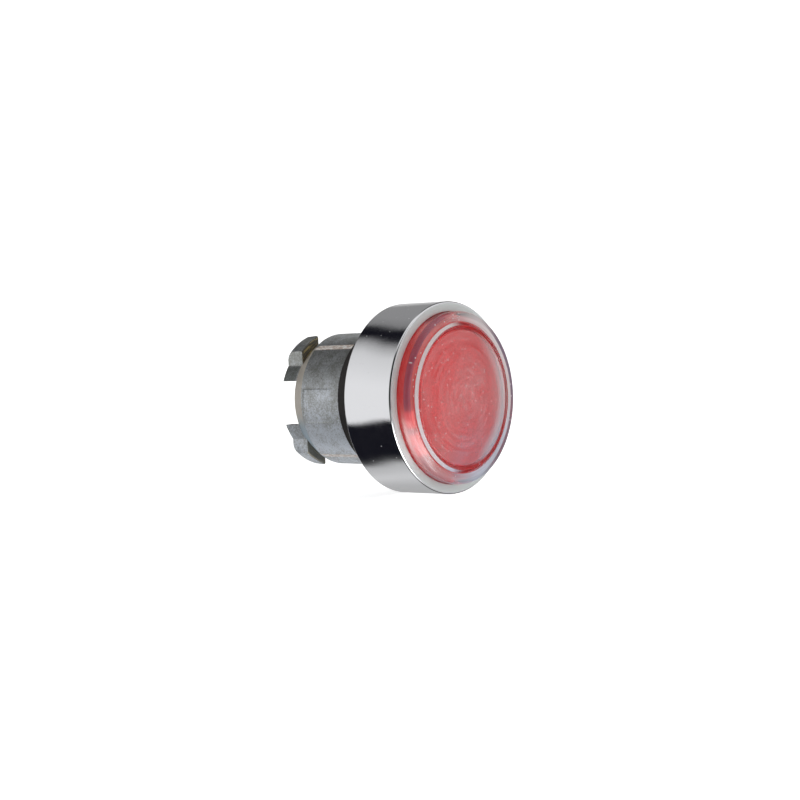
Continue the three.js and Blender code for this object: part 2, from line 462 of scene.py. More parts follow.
def painted_zinc_shade(g, at):
    """Painted shade: darker towards the top, as under a dark ceiling, with painted light keeping the claws'
    upper sides pale and painted shade on their tops and in the hollow."""
    faces_x, _, faces_z = g.split(g.geometry("Normal"))
    behind_rim = g.step(at.y, RIM + 0.05, RIM + 0.15)
    outside_rim = g.step(at.radius, RIM_R + 0.05, RIM_R + 0.1)
    beside_rim = g.product(g.step(at.y, RIM - 0.5, RIM - 0.35), outside_rim)
    claws = g.largest(beside_rim, behind_rim)
    # Painted shade, darker towards the top
    shade = g.ramp(g.scaled(at.z, 0.1), [(0.10, 1.0), (0.55, 0.45), (0.88, 0.42), (1.0, 0.95)])
    lit_hook_side = g.product(claws, g.step(faces_x, -0.7, -0.95), g.step(at.z, 5.45, 5.7))
    shade = g.mix(lit_hook_side, shade, (0.95, 0.94, 0.90, 1))
    # Painted shade in the hollow and on the claws' tops; painted light on the hook sides
    shaded_hollow = g.product(g.band(at.z, 2.5, 5.6, 0.3), behind_rim)
    shade = g.mix(shaded_hollow, shade, (0.30, 0.31, 0.30, 1))
    shaded_tops = g.product(claws, g.step(faces_z, 0.85, 0.97))
    return g.mix(shaded_tops, shade, (0.25, 0.25, 0.22, 1))


def tint_taper(g, at, colour):
    """Brown on the rear taper's upper part, blue on its lower, and a painted straw highlight along the
    lower rim.
    """
    cone = g.scaled(at.y, -TAPER, RIM_R + RIM * TAPER)
    off_cone = g.math("ABSOLUTE", g.math("SUBTRACT", at.radius, cone))
    taper = g.product(g.step(off_cone, 0.07, 0.03), g.step(at.y, 11.9, 12.1))
    tint = g.mix(g.step(at.z, -1.0, -4.5), TAPER_BROWN, TAPER_BLUE)
    colour = g.mix(g.product(taper, 0.8), colour, tint)
    # Painted highlight along the lower rim's edge
    rim_highlight = g.product(
        g.band(at.y, RIM - 0.15, RIM + 0.05, 0.1),
        g.step(at.radius, RIM_R + 0.12, RIM_R + 0.05),
        g.step(at.z, 1.0, -2.0),
    )
    return g.mix(g.product(rim_highlight, 0.9), colour, RIM_HIGHLIGHT)


def tint_hook_fronts(g, at, colour):
    """Olive with arcs of gilt on the claws' front faces."""
    _, faces_y, _ = g.split(g.geometry("Normal"))
    fronts = g.product(g.step(at.y, HOOK_FRONT - 0.3, HOOK_FRONT - 0.1), g.step(faces_y, -0.5, -0.85))
    arcs = g.noise(g.combine(g.product(at.radius, 7.0), g.product(at.angle, 3.0), 0.0), 1.0, 3.0)
    gilt = g.product(g.step(arcs, 0.54, 0.62), g.scaled(g.step(at.z, -3.0, 3.0), 0.8, 0.2))
    return g.mix(g.product(fronts, 0.9), colour, g.mix(gilt, OLIVE, GILT))


def painted_edge_highlights(g, at):
    """The mask and the colour of the painted highlight bands along the pads' edges."""
    from_side = g.math("ARCCOSINE", g.math("DIVIDE", g.math("ABSOLUTE", at.x), at.radius))
    low_edge, high_edge = (math.radians(edge) for edge in PAD_EDGES)
    # Painted highlight: bright bands along the pads' edges
    edge_highlight = g.product(g.band(from_side, low_edge, high_edge, 0.02), g.step(at.y, 12.3, 12.0))
    highlight_mottle = g.noise(g.combine(at.x, g.product(at.y, 0.5), at.z), 2.2, 4.0, 0.7)
    return edge_highlight, g.mix(g.step(highlight_mottle, 0.44, 0.58), BROWN_HIGHLIGHT, PALE_HIGHLIGHT)


def die_cast_zinc():
    """Zinc as it leaves the die: mottled and matt, with painted highlights along the pads' edges and the
    lower rim, painted shade towards the top, and tinted by the passivation. Emission makes the upper
    painted highlight bands glow as pale as under a light of their own."""
    made, g = material("die_cast_zinc")
    at = g.spot()
    mottle = g.noise(at.place, 3.2, 5.0, 0.75)
    grain = g.noise(at.place, 9.0, 3.0, 0.7)
    colour = g.ramp(cast_tone(g, at, mottle, grain), [
        (0.39, (0.29, 0.29, 0.26, 1)),
        (0.50, (0.50, 0.515, 0.52, 1)),
        (0.60, (0.80, 0.84, 0.90, 1)),
    ])
    # Painted shade multiplied into the colour
    colour = g.overlay("MULTIPLY", colour, painted_zinc_shade(g, at))
    colour = tint_taper(g, at, colour)
    edge_highlight, highlight_colour = painted_edge_highlights(g, at)
    colour = g.mix(g.product(edge_highlight, 0.9), colour, highlight_colour)
    colour = tint_hook_fronts(g, at, colour)
    height = g.total(g.product(mottle, 0.6), g.product(grain, 0.4))
    metal = g.principled({
        "Base Color": colour,
        "Metallic": 0.6,
        "Roughness": g.scaled(grain, 0.25, 0.27),
        "Emission Color": highlight_colour,
        # Painted light: emission makes the upper edge highlights glow
        "Emission Strength": g.product(edge_highlight, g.scaled(g.step(at.z, -1.0, 1.0), 0.14, 0.02)),
        "Normal": g.bump(height, 0.08),
    })
    g.surface(metal)
    return made


# ---------------------------------------------------------------- silicone

# White of the real haze and of the painted sheen
HAZE_AND_SHEEN = (0.88, 0.81, 0.81, 1)
BLUE_REFLECTION = (0.62, 0.67, 0.78, 1)
FAR_SHEEN = (0.52, 0.55, 0.58, 1)
# Colours of the painted shade along the outline
NEAR_SHADE = (0.16, 0.07, 0.15, 1)
FAR_SHADE = (0.20, 0.14, 0.20, 1)
FLANK_GLOW_RED = (0.30, 0.04, 0.045, 1)

Sight = namedtuple("Sight", "outward away facing")


def sight(g, at):
    """The direction out from the axis, how far it points away from the viewer and how the view grazes."""
    outward = g.vector("NORMALIZE", g.combine(at.x, 0.0, at.z))
    away = g.scaled(g.dot(outward, g.geometry("Incoming")), -1.0)
    facing = g.node("LayerWeight", {"Blend": 0.5}).outputs["Facing"]
    return Sight(outward, away, facing)


def moulding_rings(g, at, outward):
    """Noise drawn out in rings round the axis."""
    along = g.combine(0.0, g.product(at.radius, 2.2), 0.0)
    return g.noise(g.vector("ADD", g.stretched(outward, 1.5), along), 1.0, 4.0, 0.6)


def disc_veil(g, at, rings):
    """Cloudy milk on the disc, denser at its centre and low down."""
    cloud = g.noise(at.place, 0.30, 3.0)
    return g.total(
        g.scaled(cloud, 0.16, -0.01),
        g.scaled(rings, 0.38, -0.15),
        g.product(g.step(at.radius, 9.0, 1.0), 0.07),
        g.product(g.step(at.z, -2.0, -9.0), 0.09),
    )


def painted_far_sheen(g, at, away):
    """Painted sheen on the disc's side away from the viewer, inside the groove and thinner towards the top.
    """
    return g.product(
        g.step(at.radius, 6.9, 11.1),
        g.step(away, 0.10, 0.65),
        g.step(at.radius, 10.52, 10.40),
        g.scaled(g.step(at.z, 1.0, 8.0), -0.5, 1.0),
    )


def outline_edge(g, at, away, far_rim):
    """The outermost part of the shoulder, wider on the side away from the viewer."""
    start = g.scaled(far_rim, -0.42, 12.34)
    edge = g.step(at.radius, start, g.total(start, 0.14))
    near_rim = g.step(away, 0.0, -0.35)
    return g.product(edge, g.largest(near_rim, far_rim))


def painted_rim_glow(g, at, away, streaks, edge):
    """Painted light: a streaky milky glow on the shoulder, densest on the side away from the viewer and
    thin along its edge.
    """
    lean = g.total(away, g.scaled(at.z, -0.006))
    return g.product(
        g.step(at.radius, RIDGE_FOOT_R - 0.05, RIDGE_FOOT_R + 0.15),
        g.step(lean, -0.48, 0.50),
        streaks,
        g.step(at.y, -9.9, -10.4),
        g.scaled(edge, -0.95, 1.0),
    )


def painted_flank_highlights(g, at, streaks):
    """Painted highlights: a thin streaky veil on the left flank, denser low down."""
    return g.product(
        g.step(at.x, 0.0, -6.0),
        g.step(at.radius, RIDGE_FOOT_R, 11.8),
        streaks,
        g.scaled(g.step(at.z, 0.5, -5.0), 0.20, 0.06),
        g.step(at.y, -9.35, -9.85),
    )


def lip_normal(g, outward):
    """A normal turned outward and forward, which lays the window's reflection along the shoulder."""
    turned = g.vector("ADD", g.geometry("Normal"), g.stretched(outward, 2.13))
    return g.vector("NORMALIZE", g.vector("ADD", turned, (0.0, -3.4, 0.0)))


def clear_silicone():
    """Clear silicone with a glossy shoulder, under a milky veil of real haze and painted light, and over a
    painted shade along its outline.

    The veil is thin haze on the disc and painted light on the ridge and where the view grazes it. The
    rounded rim gets a painted glow, milkiest on the side away from the viewer, and the grazing flank a
    painted dark red glow."""
    made, g = material("clear_silicone")
    at = g.spot()
    outward, away, facing = sight(g, at)
    rings = moulding_rings(g, at, outward)
    streaks = g.scaled(rings, 0.8, 0.45)
    far_rim = g.step(away, 0.2, 0.65)
    edge = outline_edge(g, at, away, far_rim)
    far_sheen = painted_far_sheen(g, at, away)
    disc = g.step(at.radius, DISC_R, DISC_R - 0.15)
    # Painted sheen where the view grazes the disc's edge
    grazing_sheen = g.product(g.step(facing, 0.40, 0.66), g.step(at.radius, DISC_R, DISC_R - 0.25), disc)
    # Painted light: the white ring where light comes through the ridge
    ridge_light = g.product(
        g.band(at.radius, RIDGE_R + 0.02, RIDGE_FOOT_R, 0.15),
        g.step(facing, 0.60, 0.40),
        g.step(away, 0.14, -0.18),
    )
    specks = dust(g, g.combine(at.x, at.z, 0.0), 1.4, 0.88, 0.17, "2D")
    # Real haze and dust on the disc, with painted light on the ridge, rim, flank and far side
    haze_and_light_amount = g.largest(
        g.product(disc, disc_veil(g, at, rings)),
        0.01,
        g.product(grazing_sheen, 0.6),
        g.product(far_sheen, 0.95),
        g.product(ridge_light, 0.90),
        g.product(painted_rim_glow(g, at, away, streaks, edge), 0.95),
        g.product(g.step(at.radius, RIDGE_FOOT_R, 11.6), 0.05),
        painted_flank_highlights(g, at, streaks),
        g.product(specks, g.step(at.y, -10.5, -10.8), 0.7),
    )
    # Painted shade along the shoulder's outline, stronger high up and on the side away from the viewer
    upper_shade = g.scaled(g.step(at.z, -3.0, 0.5), 0.35, 0.10)
    shoulder_shade = g.product(edge, g.step(at.y, -10.35, -10.5), g.total(upper_shade, g.scaled(far_rim, 0.45)))
    # Painted light: a dark red glow where the flank grazes the view, for the light the silicone gathers
    flank_glow = g.product(g.step(facing, 0.58, 0.74), g.step(at.y, -10.5, -10.2))
    clear = g.principled({
        "Base Color": (1.0, 0.99, 0.99, 1),
        "Roughness": g.blend(g.step(at.radius, RIDGE_R, RIDGE_R - 0.2), 0.08, 0.30),
        "IOR": 1.41,
        "Transmission Weight": 1.0,
        "Coat Weight": g.product(g.step(at.radius, 11.4, 11.7), g.step(at.y, -9.5, -10.0)),
        "Coat IOR": 1.75,
        "Coat Roughness": 0.16,
        "Coat Normal": lip_normal(g, outward),
        "Normal": g.bump(rings, 0.006),
    })
    # Painted reflection: bluish milk low down on the side facing the viewer
    blue_reflection = g.product(g.step(at.z, 1.0, -9.0), g.step(away, -0.45, -0.05))
    haze_and_light = g.principled({
        "Base Color": g.mix(g.product(disc, far_sheen), g.mix(blue_reflection, HAZE_AND_SHEEN, BLUE_REFLECTION), FAR_SHEEN),
        "Roughness": 0.5,
    })
    # Painted shade along the outline and painted dark red glow on the grazing flank
    shade = g.principled({
        "Base Color": g.mix(flank_glow, g.mix(far_rim, NEAR_SHADE, FAR_SHADE), FLANK_GLOW_RED),
        "Roughness": 0.5,
        "Specular IOR Level": 0.1,
    })
    shade_amount = g.largest(shoulder_shade, g.product(flank_glow, 0.85))
    shaded = g.node("MixShader", {0: shade_amount, 1: clear.outputs[0], 2: shade.outputs[0]})
    g.surface(g.node("MixShader", {0: haze_and_light_amount, 1: shaded.outputs[0], 2: haze_and_light.outputs[0]}))
    return made


def wetted_silicone():
    """The boot's inside, which clings to the lens without an air gap and so isn't seen."""
    made, g = material("wetted_silicone")
    g.surface(g.node("BsdfTransparent"))
    return made


# ---------------------------------------------------------------- plastics, rubber and steel

RUBBER_BLACK = (0.010, 0.008, 0.007, 1)
RUBBER_BLOOM = (0.023, 0.017, 0.015, 1)
LENS_RED = (0.47, 0.010, 0.014, 1)
LENS_PALE_RED = (0.57, 0.018, 0.024, 1)
# Red of the painted shade under the ridge
LENS_SHADE_RED = (0.10, 0.02, 0.03, 1)
DARK_STEEL = (0.45, 0.46, 0.48, 1)
BRIGHT_STEEL = (0.62, 0.63, 0.65, 1)


def black_rubber():
    made, g = material("black_rubber")
    place = g.spot().place
    grain = g.noise(place, 9.0, 3.0)
    bloom = g.noise(place, 0.9, 3.0)
    rubber = g.principled({
        "Base Color": g.mix(bloom, RUBBER_BLACK, RUBBER_BLOOM),
        "Roughness": g.scaled(grain, 0.25, 0.5),
        "Normal": g.bump(grain, 0.03),
    })
    g.surface(rubber)
    return made


def red_lens():
    """Red translucent plastic with painted shade under the boot's ridge and a painted glow, less towards
    the right and most in two painted window patches on its left rim."""
    made, g = material("red_lens")
    at = g.spot()
    swirl = g.noise(g.combine(g.product(at.angle, 2.0), g.product(at.radius, 7.0), 0.0), 1.0, 4.0)
    cloud = g.noise(at.place, 0.4, 3.0)
    # Painted shade in the groove under the boot's ridge
    shaded_under_ridge = g.product(g.band(at.radius, DISC_R - 0.05, RIDGE_R + 0.1, 0.15), 0.6)
    # Painted light: two window patches glowing on the left rim
    window_patches = g.largest(g.band(at.z, -3.5, -1.0, 0.8), g.band(at.z, -7.6, -4.3, 1.0))
    window_glow = g.product(window_patches, g.step(at.x, -8.0, -9.0), g.band(at.radius, 11.3, 12.25, 0.3))
    # Painted glow, less towards the right
    painted_glow = g.scaled(g.step(at.x, -8.0, 9.0), -0.09, 0.15)
    lens = g.principled({
        "Base Color": g.mix(shaded_under_ridge, g.mix(cloud, LENS_RED, LENS_PALE_RED), LENS_SHADE_RED),
        "Roughness": g.scaled(swirl, 0.10, 0.05),
        "IOR": 1.5,
        "Specular IOR Level": g.scaled(g.step(at.radius, 11.2, 11.6), 0.9, 0.1),
        "Specular Tint": (1.0, 0.30, 0.24, 1),
        "Emission Color": (1.0, 0.045, 0.04, 1),
        "Emission Strength": g.total(painted_glow, g.product(window_glow, 0.45)),
        "Normal": g.bump(swirl, 0.01),
    })
    g.surface(lens)
    return made


def moulded(name, dark, light, roughness):
    """A moulded plastic with fine grain, slight cloudiness and uneven gloss."""
    made, g = material(name)
    place = g.spot().place
    grain = g.noise(place, 8.0, 3.0)
    cloud = g.noise(place, 0.8, 3.0)
    plastic = g.principled({
        "Base Color": g.mix(cloud, dark, light),
        "Roughness": g.scaled(grain, 0.16, roughness - 0.08),
        "Normal": g.bump(grain, 0.02),
    })
    g.surface(plastic)
    return made


def spring_steel():
    """Steel drawn or turned round the axis."""
    made, g = material("spring_steel")
    at = g.spot()
    drawn = g.noise(g.combine(g.product(at.angle, 4.0), g.product(at.radius, 22.0), at.y), 1.0, 3.0)
    metal = g.principled({
        "Base Color": g.mix(drawn, DARK_STEEL, BRIGHT_STEEL),
        "Metallic": 1.0,
        "Roughness": g.scaled(drawn, 0.2, 0.22),
        "Normal": g.bump(drawn, 0.01),
    })
    g.surface(metal)
    return made


# ---------------------------------------------------------------- housing pieces

def build_bezel():
    return lathe("chromed_bezel", [
        (BEZEL_BORE_R, BEZEL_FRONT, 0.12),
        (BEZEL_R, BEZEL_FRONT, BEZEL_EDGE),
        (BEZEL_R, -0.3, 0.25),
        (THREAD_R, -0.3, 0.15),
        (THREAD_R, BEZEL_STEP, 0.05),
        (BEZEL_BORE_R, BEZEL_STEP, 0.05),
    ], segments=256, steps=6)


def build_gasket():
    return lathe("panel_seal", [
        (10.4, -0.8, 0.0),
        (13.55, -0.8, 0.1),
        (13.55, 0.0, 0.15),
        (10.95, 0.0, 0.12),
        (10.95, 4.2, 0.2),
        (10.4, 4.2, 0.1),
    ])


def boot_profile():
    dome = [(r, APEX + 0.75 * (r / 9.9) ** 2, 0.0) for r in (0, 1.5, 3, 4.5, 6, 7.5, 9)]
    outer = dome + [
        (9.98, -11.2, 0.08),
        (DISC_R, -11.0, 0.05),
        (RIDGE_R - 0.08, -11.62, 0.22),
        (RIDGE_FOOT_R, -11.14, 0.12),
        (12.98, -11.38, 1.0),
        (BOOT_R, BEZEL_FRONT, 0.3),
        (BOOT_R, -4.75, 0.1),
        (13.55, -4.75, 0.1),
        (13.55, -3.97, 0.1),
        (12.45, -3.97, 0.1),
        (12.42, BEZEL_FRONT, 0.3),
        (12.1, -10.4, 0.6),
        (9.8, -10.5, 0.5),
    ]
    inner = [(r, -11.15 + 0.65 * (r / 9.8) ** 2, 0.0) for r in (7.5, 5, 2.5, 0)]
    return outer + inner


def build_boot():
    return lathe("clear_boot", boot_profile(), closed=False, segments=192, steps=8)


def paint_boot(boot):
    """Silicone outside; the faces that lie on the lens, which look back or in at the axis, are wetted."""
    boot.data.materials.append(clear_silicone())
    boot.data.materials.append(wetted_silicone())
    for face in boot.data.polygons:
        outward = Vector((face.center.x, 0, face.center.z)).normalized()
        face.material_index = int(face.normal.y > 0.1 or face.normal.dot(outward) < -0.9)


def smooth(value, low, high):
    """0 below low, 1 above high and smooth between; low may be the larger of the two."""
    t = min(max((value - low) / (high - low), 0.0), 1.0)
    return t * t * (3 - 2 * t)


def inside_mark(value, extent):
    """1 within the mould mark's extent and 0 outside, with sloping sides."""
    low, high = extent
    return smooth(value, low, low + MARK_SLOPE) * smooth(value, high, high - MARK_SLOPE)


def barrel_radius(y, angle):
    """Radius of the casting's outside at a station and an angle, with side pads, mould mark and taper."""
    degrees = math.degrees(angle)
    from_side = min(abs(degrees - 180), degrees, 360 - degrees)
    across = min(max((PAD_EDGES[1] - from_side) / (PAD_EDGES[1] - PAD_EDGES[0]), 0.0), 1.0)
    pad = (PAD_R - BARREL_R) * across * smooth(y, 4.25, 4.37)
    z = PAD_R * math.sin(angle)
    if math.cos(angle) < 0:
        pad -= MARK_DEPTH * inside_mark(y, MARK_Y) * inside_mark(z, MARK_Z)
    cone = RIM_R + (RIM - y) * TAPER
    return min(BARREL_R + pad, cone)


def casting_angles():
    """Angles round the barrel, closer together at the edges of the pads and of the mould mark."""
    marks = {float(a) for a in range(0, 360, 3)}
    for side in (0, 180):
        for edge in PAD_EDGES:
            for k in (-0.2, 0.0, 0.2):
                marks.add((side + edge + k) % 360)
                marks.add((side - edge - k) % 360)
    for z in MARK_Z:
        middle = 180 - math.degrees(math.asin(z / PAD_R))
        for k in range(-3, 4):
            marks.add(middle + k * 0.25)
    return [math.radians(a) for a in sorted(marks)]


def casting_stations():
    """Stations along the barrel's outside, closer together where its surface steps or turns."""
    stations = [-0.85, 0.0, 4.2, 4.25, 4.31, 4.37, 4.5]
    for edge in MARK_Y:
        stations += [edge + 0.06 * k for k in range(-2, 5)]
    stations += [7.5, 9.5, 11.0]
    stations += [12.04 + 0.06 * k for k in range(16)]
    stations += [13.2, 13.6, 14.0, 14.4, 14.8, RIM - 0.12]
    return sorted(stations)


def build_casting():
    """The barrel with its collar and flange, from the outside's stations and the inside's corners."""
    stations = casting_stations()
    inside = rounded([
        (RIM_R, RIM, 0.12),
        (7.7, RIM, 0.1),
        (7.7, SHOULDER, 0.0),
        (9.2, SHOULDER, 0.0),
        (9.2, FLOOR_FRONT, 0.1),
        (12.55, FLOOR_FRONT, 0.1),
        (12.55, COLLAR_FRONT, 0.1),
        (13.6, COLLAR_FRONT, 0.1),
        (13.6, -0.85, 0.1),
    ], closed=False)
    bm = bmesh.new()
    rings = []
    for angle in casting_angles():
        c, s = math.cos(angle), math.sin(angle)
        outline = [(barrel_radius(y, angle), y) for y in stations] + inside
        rings.append([bm.verts.new((r * c, y, r * s)) for r, y in outline])
    count = len(rings[0])
    for s in range(len(rings)):
        here, there = rings[s], rings[(s + 1) % len(rings)]
        for i in range(count):
            j = (i + 1) % count
            bm.faces.new((here[i], here[j], there[j], there[i]))
    return new_piece("die_cast_body", bm, sharp_deg=28)


def polygon_on_arcs(inner_r, outer_r, x_cut, z_cut, x_side, steps=10):
    """Outline [x, z] of the part of a ring, in the first quadrant, that lies between x_cut and x_side
    and above z_cut."""
    def span(radius):
        high = math.degrees(math.acos(min(1, x_cut / radius)))
        low = math.degrees(math.asin(min(1, z_cut / radius)))
        if radius > x_side:
            low = max(low, math.degrees(math.acos(x_side / radius)))
        return low, high
    low, high = span(outer_r)
    outline = arc(outer_r, low, high, steps)
    if outer_r > x_side and outline[0][1] > z_cut + 0.01:
        outline.insert(0, (x_side, z_cut))
    low, high = span(inner_r)
    return outline + arc(inner_r, high, low, steps)


def build_claw(side_x, side_z):
    def mirrored(outline):
        return [(side_x * x, side_z * z) for x, z in outline]
    wall = mirrored(polygon_on_arcs(7.8, 9.15, 3.2, 3.42, 99))
    claw = new_piece("claw", loft_mesh([(14.4, wall), (CLAW_END, wall)]))
    sections = [(y, mirrored(polygon_on_arcs(8.6, r, 3.2, 5.75, 7.1))) for y, r in HOOK_CROWN]
    hook = new_piece("hook", loft_mesh(sections))
    union = claw.modifiers.new("hook", "BOOLEAN")
    union.operation = "UNION"
    union.solver = "EXACT"
    union.object = hook
    apply_modifiers(claw)
    bpy.data.objects.remove(hook)
    bevel(claw, 0.2, segments=4, angle_deg=50)
    return claw


def build_body():
    body = build_casting()
    claws = [build_claw(x, z) for x in (-1, 1) for z in (-1, 1)]
    join(body, claws)
    return body


def build_clamp_ring():
    return lathe("boot_slip_ring", [
        (12.55, -3.92, 0.08), (13.55, -3.92, 0.08), (13.55, -3.4, 0.08), (12.55, -3.4, 0.08),
    ])


def build_bush():
    return lathe("stem_bush", [
        (6.05, 4.9, 0.1), (9.1, 4.9, 0.1), (9.1, 5.6, 0.1), (7.65, 5.6, 0.05), (7.65, 12.4, 0.2),
        (6.05, 12.4, 0.2),
    ])


def build_lip_seal():
    return lathe("stem_wiper", [
        (7.2, 3.65, 0.08), (9.1, 3.65, 0.1), (9.1, 4.85, 0.1), (7.0, 4.85, 0.1),
        (6.3, 4.5, 0.05), (6.05, 3.95, 0.04), (6.3, 3.8, 0.04), (6.8, 4.2, 0.1),
    ])


def build_spring_seat():
    return lathe("spring_washer", [
        (6.2, SPRING_SEAT, 0.08), (9.1, SPRING_SEAT, 0.12), (9.1, 3.6, 0.05), (6.2, 3.6, 0.05),
    ])


def build_stop_washer():
    return lathe("rest_stop", [
        (6.1, 12.45, 0.1), (7.55, 12.45, 0.1), (7.55, 12.95, 0.12), (6.1, 12.95, 0.12),
    ])


def build_spring():
    """A coil with one closed turn at each end, whose centre line runs from start to end."""
    wire_r = 0.45
    coil_r = 7.55
    start = -7.41
    end = 2.61
    active = 4
    closed_pitch = 0.95
    turns = active + 2
    pitch = (end - start - 2 * closed_pitch) / active
    per_turn = 48
    around = 12
    bm = bmesh.new()
    rings = []
    for k in range(turns * per_turn + 1):
        turn = k / per_turn
        dead = min(turn, 1.0) + max(turn - turns + 1, 0.0)
        y = start + dead * closed_pitch + (turn - dead) * pitch
        a = turn * 2 * math.pi
        ring = []
        for m in range(around):
            b = 2 * math.pi * m / around
            r = coil_r + wire_r * math.cos(b)
            ring.append(bm.verts.new((r * math.cos(a), y + wire_r * math.sin(b), r * math.sin(a))))
        rings.append(ring)
    for here, there in zip(rings, rings[1:]):
        for m in range(around):
            n = (m + 1) % around
            bm.faces.new((here[m], here[n], there[n], there[m]))
    bm.faces.new(rings[0])
    bm.faces.new(list(reversed(rings[-1])))
    return new_piece("coil_spring", bm)


# ---------------------------------------------------------------- button pieces

def build_lens():
    dome = [(r, -11.0 + 0.62 * (r / 9.8) ** 2, 0.0) for r in (0, 2, 4, 6, 8)]
    return lathe("red_lens", dome + [
        (9.8, -10.44, 0.3),
        (11.95, -10.40, 0.12),
        (12.34, -9.95, 0.12),
        (12.34, -6.0, 0.15),
        (11.1, -6.0, 0.1),
        (11.1, -9.6, 0.4),
        (9.0, -9.85, 0.2),
        (0, -9.85, 0.0),
    ], closed=False, segments=192, steps=6)


def build_diffuser():
    return lathe("milky_diffuser", [
        (0, -9.75, 0), (10.4, -9.75, 0.3), (10.9, -9.15, 0.1), (0, -9.15, 0),
    ], closed=False)


def build_carrier():
    return lathe("lens_clip_ring", [
        (9.0, -9.1, 0.1), (11.05, -9.1, 0.15), (11.05, -6.1, 0.2), (9.55, -6.1, 0.1), (9.55, -8.5, 0.1),
        (9.0, -8.5, 0.05),
    ])


def build_light_guide():
    return lathe("light_rod", [
        (0, -9.05, 0), (5.7, -9.05, 0.05), (5.7, -8.5, 0.05), (4.55, -8.5, 0.05), (4.55, 14.3, 0.2),
        (0, 14.45, 0),
    ], closed=False)


def build_plunger():
    return lathe("plunger_stem", [
        (5.75, -9.05, 0.05), (8.95, -9.05, 0.05), (8.95, -8.45, 0.05), (9.5, -8.45, 0.1),
        (9.5, HEAD_REAR, 0.1), (6.0, HEAD_REAR, 0.2), (6.0, 12.98, 0.03), (5.5, 12.98, 0.05),
        (5.5, 13.62, 0.05), (6.0, 13.62, 0.03), (6.0, 14.55, 0.2), (4.6, 14.55, 0.1),
        (4.6, -8.45, 0.05), (5.75, -8.45, 0.05),
    ])


def build_clip():
    outline = arc(7.2, 35, 325, 60) + arc(5.55, 325, 35, 60)
    clip = new_piece("stem_clip", loft_mesh([(13.0, outline), (13.6, outline)]))
    bevel(clip, 0.06, segments=2)
    return clip


def build_pusher():
    hub = lathe("pusher_foot", [
        (6.03, 13.66, 0.1), (7.2, 13.66, 0.15), (7.2, 15.5, 0.25), (4.55, 15.5, 0.2), (4.55, 14.6, 0.1),
        (6.03, 14.6, 0.05),
    ])
    feet = []
    for side in (-1, 1):
        outline = [(4.8 * side, -2.2), (6.7 * side, -2.2), (6.7 * side, 2.2), (4.8 * side, 2.2)]
        tip = [(5.0 * side, -1.95), (6.55 * side, -1.95), (6.55 * side, 1.95), (5.0 * side, 1.95)]
        foot = new_piece("foot", loft_mesh([(15.1, outline), (16.9, tip)]))
        bevel(foot, 0.2)
        feet.append(foot)
    join(hub, feet)
    return hub


# ---------------------------------------------------------------- assembly

def stand_for(node):
    """Hides the CAD node that the piece stands for."""
    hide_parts(node)


def build_rigid_pieces(steel):
    """The rigid pieces, each with its builder, CAD node, body, slot in the record and material."""
    rubber = black_rubber()
    milky = moulded("milky_plastic", (0.82, 0.80, 0.75, 1), (0.90, 0.89, 0.85, 1), 0.45)
    black = moulded("black_nylon", (0.012, 0.012, 0.013, 1), (0.022, 0.022, 0.024, 1), 0.45)
    clear = moulded("clear_plastic", (0.75, 0.80, 0.82, 1), (0.82, 0.86, 0.88, 1), 0.15)
    grey = moulded("grey_nylon", (0.14, 0.15, 0.15, 1), (0.20, 0.20, 0.21, 1), 0.5)
    acetal = moulded("white_acetal", (0.74, 0.72, 0.66, 1), (0.82, 0.80, 0.75, 1), 0.4)
    rows = [
        (build_body, "operator_body", "housing", "die_cast_zinc", die_cast_zinc()),
        (build_bezel, "bezel", "housing", "chrome_plate", chrome_plate()),
        (build_gasket, "panel_gasket", "housing", "black_rubber", rubber),
        (build_clamp_ring, "boot_clamp_ring", "housing", "grey_nylon", grey),
        (build_bush, "guide_bush", "housing", "white_acetal", acetal),
        (build_lip_seal, "lip_seal", "housing", "black_rubber", rubber),
        (build_spring_seat, "spring_seat", "housing", "steel", steel),
        (build_stop_washer, "stop_washer", "housing", "black_rubber", rubber),
        (build_lens, "lens_cap", "button", "red_lens", red_lens()),
        (build_diffuser, "diffuser", "button", "milky_plastic", milky),
        (build_carrier, "lens_carrier", "button", "milky_plastic", milky),
        (build_light_guide, "light_guide", "button", "clear_plastic", clear),
        (build_plunger, "plunger", "button", "black_nylon", black),
        (build_clip, "retaining_clip", "button", "steel", steel),
        (build_pusher, "pusher", "button", "black_nylon", black),
    ]
    for build, node, body, slot, finish in rows:
        piece = build()
        paint(piece, finish)
        stand_for(node)
        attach(piece, body)


def build_flexing_pieces(steel):
    """The boot, whose wall folds on the real button, and the spring, which shortens against its seat there,
    both built as still meshes.
    """
    boot = build_boot()
    paint_boot(boot)
    stand_for("boot")
    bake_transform(boot)
    spring = build_spring()
    paint(spring, steel)
    stand_for("return_spring")
    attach(spring, "housing")
    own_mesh(spring)


# ---------------------------------------------------------------- studio

BLACK = (0.006, 0.006, 0.010, 1)
GAP_GREY = (0.02, 0.02, 0.02, 1)
WINDOW_POWER = 5.0

FLOOR_FLAT_R = 360
FLOOR_CURVE_R = 160
FLOOR_WALL = 700
FLOOR_SEGMENTS = 96


def rear_surroundings(g, x, y, z):
    """What the sides reflect: soft boxes and black flags placed by the degree round the axis."""
    turn = g.math("FRACT", g.math("DIVIDE", g.math("ARCTAN2", z, x), 2 * math.pi))
    lean = g.scaled(g.step(y, 0.60, 0.72), 0.072, -0.036)
    return g.ramp(g.total(turn, g.product(z, lean)), [(a / 360, v) for a, v in (
        (0, 0.52), (14, 0.60), (26, 0.27), (60, 0.27), (74, 0.22), (82, BLACK), (97, BLACK), (108, 0.38),
        (122, 0.66), (160, 0.82), (203, 0.82), (206, BLACK), (253, BLACK), (260, 0.07), (268, 0.48),
        (290, 0.64), (310, 0.48), (335, 0.43),
    )])


